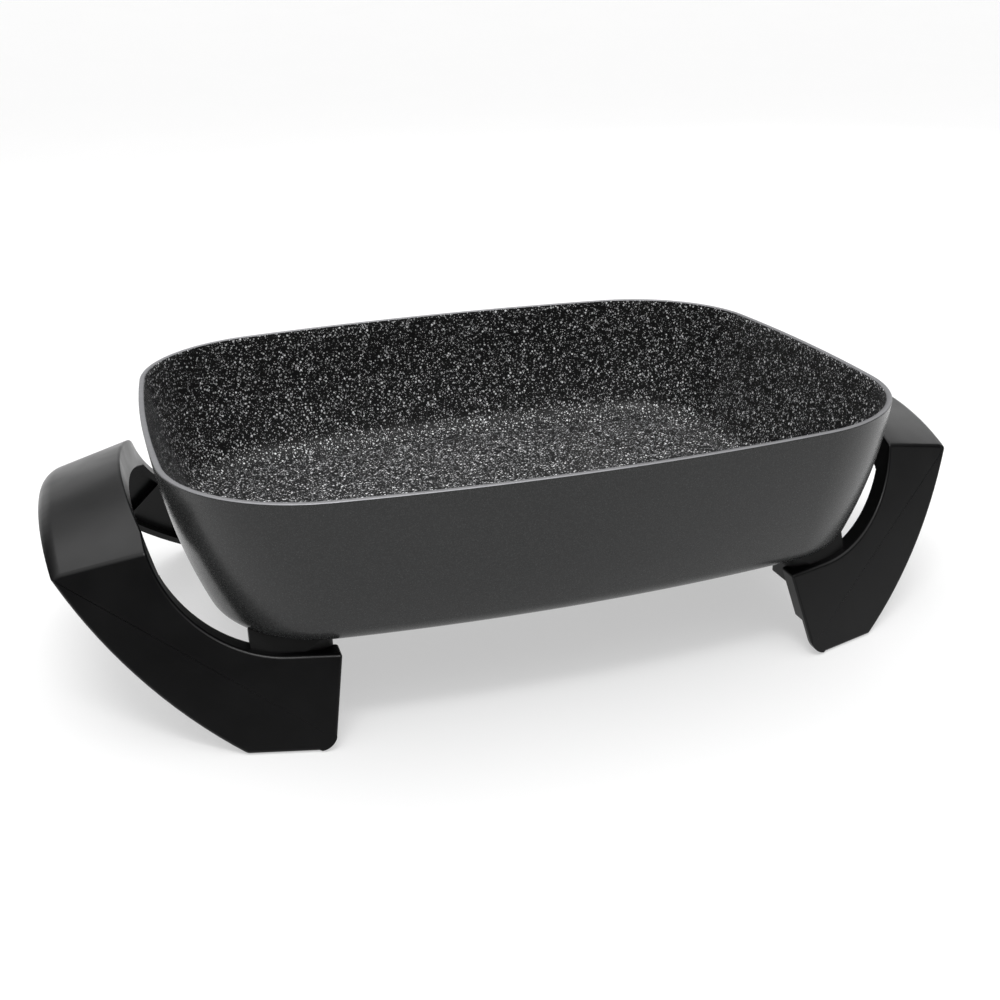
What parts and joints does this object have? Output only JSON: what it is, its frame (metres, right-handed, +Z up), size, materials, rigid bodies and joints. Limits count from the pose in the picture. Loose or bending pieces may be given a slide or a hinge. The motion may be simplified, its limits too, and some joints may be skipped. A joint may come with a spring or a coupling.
{
  "type": "electric skillet",
  "caption": "Deep oblong electric skillet with a non-stick cast pan, arched one-piece handle-and-leg mouldings and a guarded socket for a plug-in heat control.",
  "frame": {"origin": "on the table, under the middle of the pan", "axes": "+X along the pan's length towards the end with the socket, +Y to the rear long side, +Z up"},
  "size_m": [0.5226, 0.3228, 0.1356],
  "materials": {
    "cast_pan": "charcoal sparkle paint outside, speckled black non-stick inside, bright machined rim",
    "element_sheath": "dull oxidised sheath",
    "ceramic": "glazed ceramic",
    "terminal_pins": "plated",
    "probe_well": "machined",
    "phenolic": "moulded, semi-matt",
    "heat_spacer": "moulded, matt",
    "screws": "zinc plated",
    "foot_rubber": "matt"
  },
  "bodies": {
    "root": {"pan": "cast_pan", "heating_element": "element_sheath", "front_terminal_insulator": "ceramic", "rear_terminal_insulator": "ceramic", "front_terminal_pin": "terminal_pins", "rear_terminal_pin": "terminal_pins", "probe_well": "probe_well", "socket_guard": "phenolic", "socket_guard_screws": "screws", "right_handle": "phenolic", "left_handle": "phenolic", "right_grip_cover": "phenolic", "left_grip_cover": "phenolic", "right_grip_screws": "screws", "left_grip_screws": "screws", "right_front_heat_spacer": "heat_spacer", "right_rear_heat_spacer": "heat_spacer", "left_front_heat_spacer": "heat_spacer", "left_rear_heat_spacer": "heat_spacer", "leg_washers": "screws", "leg_screws": "screws", "right_front_foot": "foot_rubber", "right_rear_foot": "foot_rubber", "left_front_foot": "foot_rubber", "left_rear_foot": "foot_rubber"}
  },
  "joints": []
}
